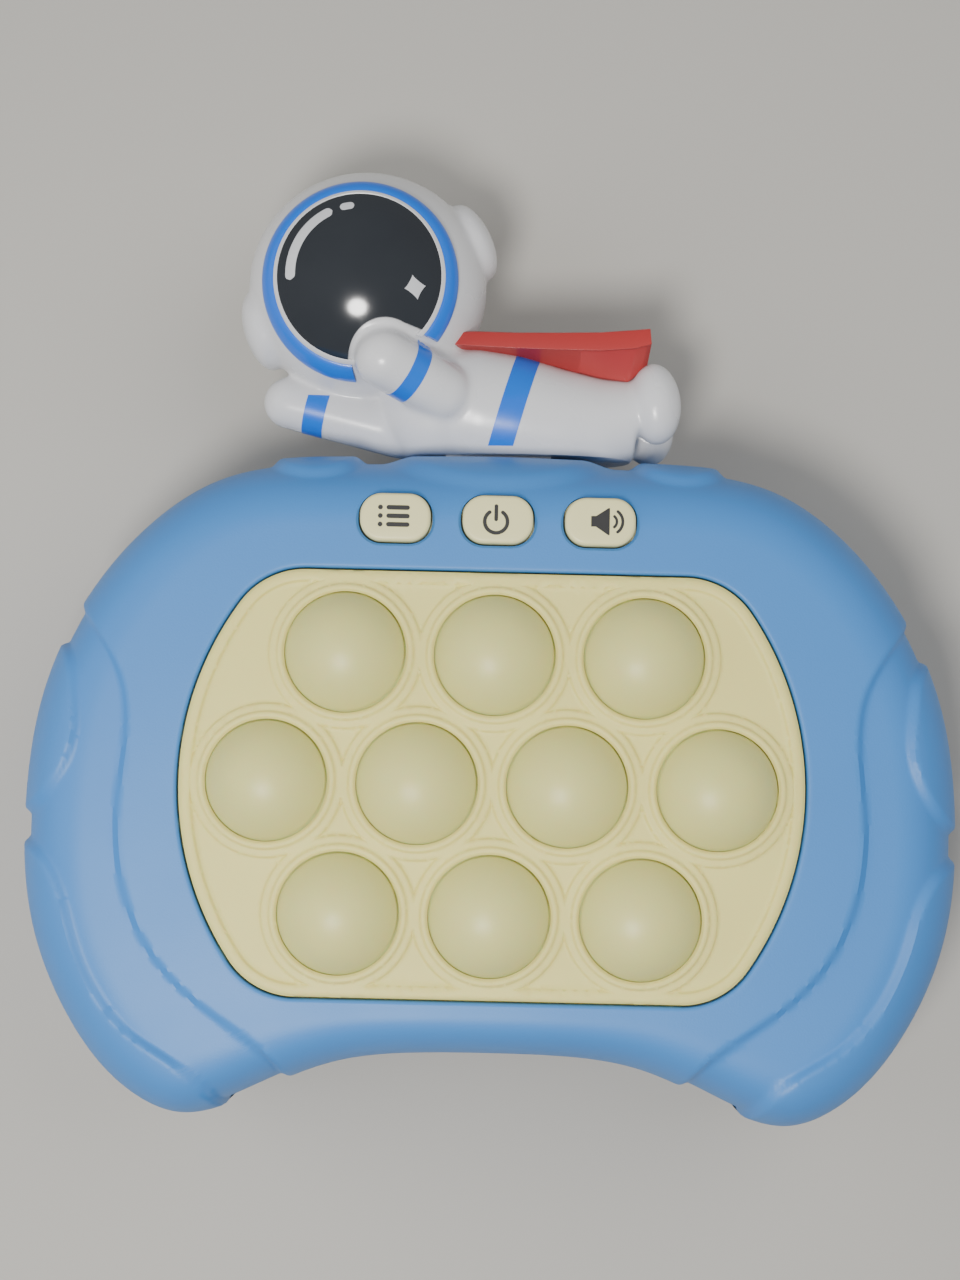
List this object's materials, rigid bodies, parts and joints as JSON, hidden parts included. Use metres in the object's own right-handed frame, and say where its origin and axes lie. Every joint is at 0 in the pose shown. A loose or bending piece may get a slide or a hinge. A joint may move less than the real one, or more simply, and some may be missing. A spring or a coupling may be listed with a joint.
{
  "type": "electronic drum pad",
  "caption": "Hand-held battery toy pad with a field of light-up silicone bubbles to press, function buttons and a small toy astronaut on its top edge.",
  "frame": {"origin": "centre of the toy's outline as it lies on its back, on the surface it lies on", "axes": "+X to the right of someone who looks at the bubbles with the astronaut upmost, +Y towards the astronaut, +Z out of the front face"},
  "size_m": [0.1296, 0.1341, 0.0417],
  "materials": {
    "case_blue": "satin moulded ABS with a fine texture",
    "steel": "zinc-plated steel",
    "cell_shell": "printed foil sleeve",
    "pad_cream": "matt cream silicone",
    "dome_cream": "matt translucent cream silicone",
    "grid_white": "natural white plastic",
    "board_green": "green solder resist",
    "led_white": "clear resin over a white cup",
    "button_cream": "satin cream plastic",
    "dark_plastic": "black moulded plastic",
    "lead_red": "PVC insulation",
    "lead_black": "PVC insulation",
    "figure_white": "glossy white plastic",
    "visor_black": "glossy black plastic",
    "cape_red": "glossy red plastic"
  },
  "bodies": {
    "toy": {"front_case": "case_blue", "rear_case": "case_blue", "case_screw_1": "steel", "case_screw_2": "steel", "case_screw_3": "steel", "case_screw_4": "steel", "case_screw_5": "steel", "case_screw_6": "steel", "board_screw_1": "steel", "board_screw_2": "steel", "board_screw_3": "steel", "board_screw_4": "steel", "battery_spring_1": "steel", "battery_spring_2": "steel", "battery_spring_3": "steel", "contact_minus": "steel", "contact_plus": "steel", "contact_bridge_left": "steel", "contact_bridge_right": "steel", "battery_1": "cell_shell", "battery_2": "cell_shell", "battery_3": "cell_shell", "bubble_pad": "pad_cream", "light_grid": "grid_white", "main_board": "board_green", "led_1": "led_white", "led_2": "led_white", "led_3": "led_white", "led_4": "led_white", "led_5": "led_white", "led_6": "led_white", "led_7": "led_white", "led_8": "led_white", "led_9": "led_white", "led_10": "led_white", "menu_switch": "dark_plastic", "power_switch": "dark_plastic", "volume_switch": "dark_plastic", "speaker": "dark_plastic", "speaker_lead": "lead_red", "battery_lead": "lead_black", "figure_front": "figure_white", "figure_back": "figure_white", "figure_visor": "visor_black", "figure_cape": "cape_red"},
    "bubble_1_body": {"bubble_1": "dome_cream"},
    "bubble_2_body": {"bubble_2": "dome_cream"},
    "bubble_3_body": {"bubble_3": "dome_cream"},
    "bubble_4_body": {"bubble_4": "dome_cream"},
    "bubble_5_body": {"bubble_5": "dome_cream"},
    "bubble_6_body": {"bubble_6": "dome_cream"},
    "bubble_7_body": {"bubble_7": "dome_cream"},
    "bubble_8_body": {"bubble_8": "dome_cream"},
    "bubble_9_body": {"bubble_9": "dome_cream"},
    "bubble_10_body": {"bubble_10": "dome_cream"},
    "menu_button_body": {"menu_button": "button_cream"},
    "power_button_body": {"power_button": "button_cream"},
    "volume_button_body": {"volume_button": "button_cream"},
    "battery_cover": {"battery_door": "case_blue", "battery_door_screw": "steel"}
  },
  "joints": [
    {"name": "bubble_1_press", "type": "slide", "parent": "toy", "child": "bubble_1_body", "axis": [0, 0, -1], "range_m": [0, 0.003], "stiffness_N_per_m": 450},
    {"name": "bubble_2_press", "type": "slide", "parent": "toy", "child": "bubble_2_body", "axis": [0, 0, -1], "range_m": [0, 0.003], "stiffness_N_per_m": 450},
    {"name": "bubble_3_press", "type": "slide", "parent": "toy", "child": "bubble_3_body", "axis": [0, 0, -1], "range_m": [0, 0.003], "stiffness_N_per_m": 450},
    {"name": "bubble_4_press", "type": "slide", "parent": "toy", "child": "bubble_4_body", "axis": [0, 0, -1], "range_m": [0, 0.003], "stiffness_N_per_m": 450},
    {"name": "bubble_5_press", "type": "slide", "parent": "toy", "child": "bubble_5_body", "axis": [0, 0, -1], "range_m": [0, 0.003], "stiffness_N_per_m": 450},
    {"name": "bubble_6_press", "type": "slide", "parent": "toy", "child": "bubble_6_body", "axis": [0, 0, -1], "range_m": [0, 0.003], "stiffness_N_per_m": 450},
    {"name": "bubble_7_press", "type": "slide", "parent": "toy", "child": "bubble_7_body", "axis": [0, 0, -1], "range_m": [0, 0.003], "stiffness_N_per_m": 450},
    {"name": "bubble_8_press", "type": "slide", "parent": "toy", "child": "bubble_8_body", "axis": [0, 0, -1], "range_m": [0, 0.003], "stiffness_N_per_m": 450},
    {"name": "bubble_9_press", "type": "slide", "parent": "toy", "child": "bubble_9_body", "axis": [0, 0, -1], "range_m": [0, 0.003], "stiffness_N_per_m": 450},
    {"name": "bubble_10_press", "type": "slide", "parent": "toy", "child": "bubble_10_body", "axis": [0, 0, -1], "range_m": [0, 0.003], "stiffness_N_per_m": 450},
    {"name": "menu_press", "type": "slide", "parent": "toy", "child": "menu_button_body", "axis": [0, 0, -1], "range_m": [0, 0.0007], "stiffness_N_per_m": 800},
    {"name": "power_press", "type": "slide", "parent": "toy", "child": "power_button_body", "axis": [0, 0, -1], "range_m": [0, 0.0007], "stiffness_N_per_m": 800},
    {"name": "volume_press", "type": "slide", "parent": "toy", "child": "volume_button_body", "axis": [0, 0, -1], "range_m": [0, 0.0007], "stiffness_N_per_m": 800},
    {"name": "battery_cover_lift", "type": "slide", "parent": "toy", "child": "battery_cover", "axis": [0, 0, -1], "range_m": [0, 0.012]}
  ]
}
